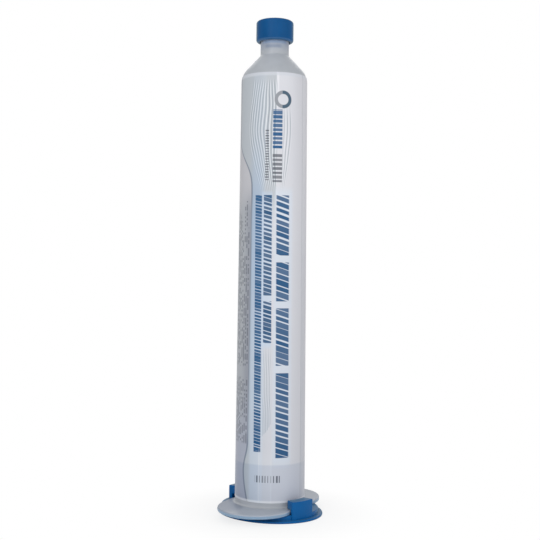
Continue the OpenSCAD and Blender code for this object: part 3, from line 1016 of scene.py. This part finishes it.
def blue_material(colour):
    """The satin blue plastic of both caps, with a painted highlight round the screw cap's lower edge,
    painted light on the end cap and a painted reflection at grazing angles.
    """
    name = "satin_blue"
    if name in bpy.data.materials:
        return bpy.data.materials[name]
    material, g, shader, tinted = moulded(name, colour, shade(colour, 0.86), 0.4, 0.25)
    up = g.use(place_group())["Up"]
    # Painted highlight: a paler band round the screw cap's lower edge
    painted_rim_highlight = g.times(g.ramp(up, Z_CAP - 1.0, Z_CAP - 0.9), g.ramp(up, Z_CAP + 0.75, Z_CAP + 0.35))
    # Painted light: low down, the end cap is a lighter copy of the blue, lifting it out of the shade it sits
    # in
    tinted = g.mix(g.ramp(up, 20.0, 10.0), tinted, shade(colour, 1.25))
    tinted = g.over(tinted, painted_rim_highlight, 0.2, srgb(120, 156, 192))
    # Painted reflection: towards grazing angles the blue turns a dull teal, as the dark surroundings would
    # reflect at the caps' sides
    facing = g.node("ShaderNodeLayerWeight", {"Blend": 0.5}).outputs["Facing"]
    tinted = g.mix(g.ramp(facing, 0.5, 0.95, 0.0, 0.75), tinted, srgb(98, 132, 146))
    g.feed(tinted, shader.inputs["Base Color"])
    shader.inputs["Specular IOR Level"].default_value = 0.15
    return material


class CARTRIDGE_OT_stage(bpy.types.Operator):
    """Sets the pale floor, the white surroundings, the soft lamps and the camera"""
    bl_idname = "cartridge.stage"
    bl_label = "Stage"

    def execute(self, context):
        colours = settings()[1]
        scene = context.scene
        self.world(scene)
        self.floor(tuple(colours.floor))
        photo = math.radians(PHOTO_AZIMUTH)
        # Name, degrees round from the camera, height, distance, width, height of the lamp, watts
        lamps = (
            ("key", -20.0, 0.75, 1.1, 0.9, 0.9, 3.2),
            ("fill", 50.0, 0.45, 1.1, 0.8, 0.9, 1.6),
            ("strip_left", -28.0, 0.16, 0.8, 0.05, 0.7, 0.6),
            ("strip_right", 13.0, 0.16, 0.8, 0.04, 0.7, 0.7),
            ("back", 180.0, 0.7, 1.0, 1.0, 0.6, 1.8))
        for name, around, height, distance, width, tall, watts in lamps:
            data = bpy.data.lights.new(name, "AREA")
            data.shape = "RECTANGLE"
            data.size = width
            data.size_y = tall
            data.energy = watts
            lamp = bpy.data.objects.new(name, data)
            a = photo + math.radians(around)
            lamp.location = (distance * math.sin(a), -distance * math.cos(a), height)
            aim = LAMP_AIM - lamp.location
            lamp.rotation_euler = aim.to_track_quat("-Z", "Y").to_euler()
            scene.collection.objects.link(lamp)
        data = bpy.data.cameras.new("camera")
        data.lens = CAMERA_LENS
        data.sensor_width = 36.0
        data.clip_start = 0.01
        camera = bpy.data.objects.new("camera", data)
        right = Vector((math.cos(photo), math.sin(photo), 0))
        away = Vector((math.sin(photo), -math.cos(photo), 0))
        place = away * CAMERA_AWAY - right * CAMERA_ASIDE + Vector((0, 0, CAMERA_HEIGHT))
        turned = (Matrix.Rotation(photo, 4, "Z") @ Matrix.Rotation(math.pi / 2, 4, "X")
                  @ Matrix.Rotation(math.radians(CAMERA_ROLL), 4, "Z"))
        camera.matrix_world = Matrix.Translation(place) @ turned
        scene.collection.objects.link(camera)
        scene.camera = camera
        scene.view_settings.view_transform = "Standard"
        return {"FINISHED"}

    @staticmethod
    def world(scene):
        """White all round, and dimmer for everything but the camera's own view."""
        world = bpy.data.worlds.new("studio")
        world.use_nodes = True
        g = Graph(world.node_tree)
        background = next(n for n in world.node_tree.nodes if n.type == "BACKGROUND")
        seen = g.node("ShaderNodeLightPath").outputs["Is Camera Ray"]
        g.feed(g.ramp(seen, 0.0, 1.0, 0.62, 1.0, smooth=False), background.inputs["Strength"])
        background.inputs["Color"].default_value = (1, 1, 1, 1)
        scene.world = world

    @staticmethod
    def floor(colour):
        """A pale floor that keeps the shadow near the cartridge and fades to white beyond it."""
        mesh = bpy.data.meshes.new("floor")
        corners = ((-1, -1), (1, -1), (1, 1), (-1, 1))
        mesh.from_pydata([(x * FLOOR_HALF, y * FLOOR_HALF, FLOOR_Z) for x, y in corners], [], [(0, 1, 2, 3)])
        floor = bpy.data.objects.new("floor", mesh)
        bpy.context.scene.collection.objects.link(floor)
        material, g, shader = new_material("floor")
        point = g.node("ShaderNodeTexCoord").outputs["Object"]
        mottle = g.noise(point, 30.0, 2.0)
        g.feed(g.mix(mottle, colour, shade(colour, 0.985)), shader.inputs["Base Color"])
        shader.inputs["Roughness"].default_value = 0.9
        shader.inputs["Specular IOR Level"].default_value = 0.1
        away = g.node("ShaderNodeVectorMath", {0: point}, operation="LENGTH").outputs["Value"]
        far = g.ramp(away, 0.02, 0.046, 0.78, 1.0)
        camera_ray = g.node("ShaderNodeLightPath").outputs["Is Camera Ray"]
        white = g.node("ShaderNodeEmission", {"Color": (1, 1, 1, 1), "Strength": 1.0})
        blend = g.node("ShaderNodeMixShader", {0: g.times(far, camera_ray)})
        g.tree.links.new(shader.outputs[0], blend.inputs[1])
        g.tree.links.new(white.outputs[0], blend.inputs[2])
        output = next(n for n in g.tree.nodes if n.type == "OUTPUT_MATERIAL")
        g.tree.links.new(blend.outputs[0], output.inputs["Surface"])
        mesh.materials.append(material)


class CARTRIDGE_PT_panel(bpy.types.Panel):
    """Lists the cartridge's settings and the steps that build it"""
    bl_idname = "CARTRIDGE_PT_panel"
    bl_label = "Glue cartridge"
    bl_space_type = "VIEW_3D"
    bl_region_type = "UI"
    bl_category = "Cartridge"

    def draw(self, context):
        layout = self.layout
        for holder in settings():
            for name in holder.bl_rna.properties.keys():
                if name not in ("rna_type", "name"):
                    layout.prop(holder, name)
        for operator in OPERATORS:
            layout.operator(operator.bl_idname)


OPERATORS = (
    CARTRIDGE_OT_barrel,
    CARTRIDGE_OT_label,
    CARTRIDGE_OT_contents,
    CARTRIDGE_OT_piston,
    CARTRIDGE_OT_screw_cap,
    CARTRIDGE_OT_end_cap,
    CARTRIDGE_OT_stage,
)
CLASSES = (CartridgeSizes, CartridgeColours, *OPERATORS, CARTRIDGE_PT_panel)


def register():
    for item in CLASSES:
        bpy.utils.register_class(item)
    bpy.types.Scene.cartridge_sizes = PointerProperty(type=CartridgeSizes)
    bpy.types.Scene.cartridge_colours = PointerProperty(type=CartridgeColours)


def unregister():
    del bpy.types.Scene.cartridge_colours
    del bpy.types.Scene.cartridge_sizes
    for item in reversed(CLASSES):
        bpy.utils.unregister_class(item)


def main():
    """Builds every piece."""
    register()
    for operator in OPERATORS:
        area, name = operator.bl_idname.split(".")
        getattr(getattr(bpy.ops, area), name)()


if __name__ == "__main__":
    main()
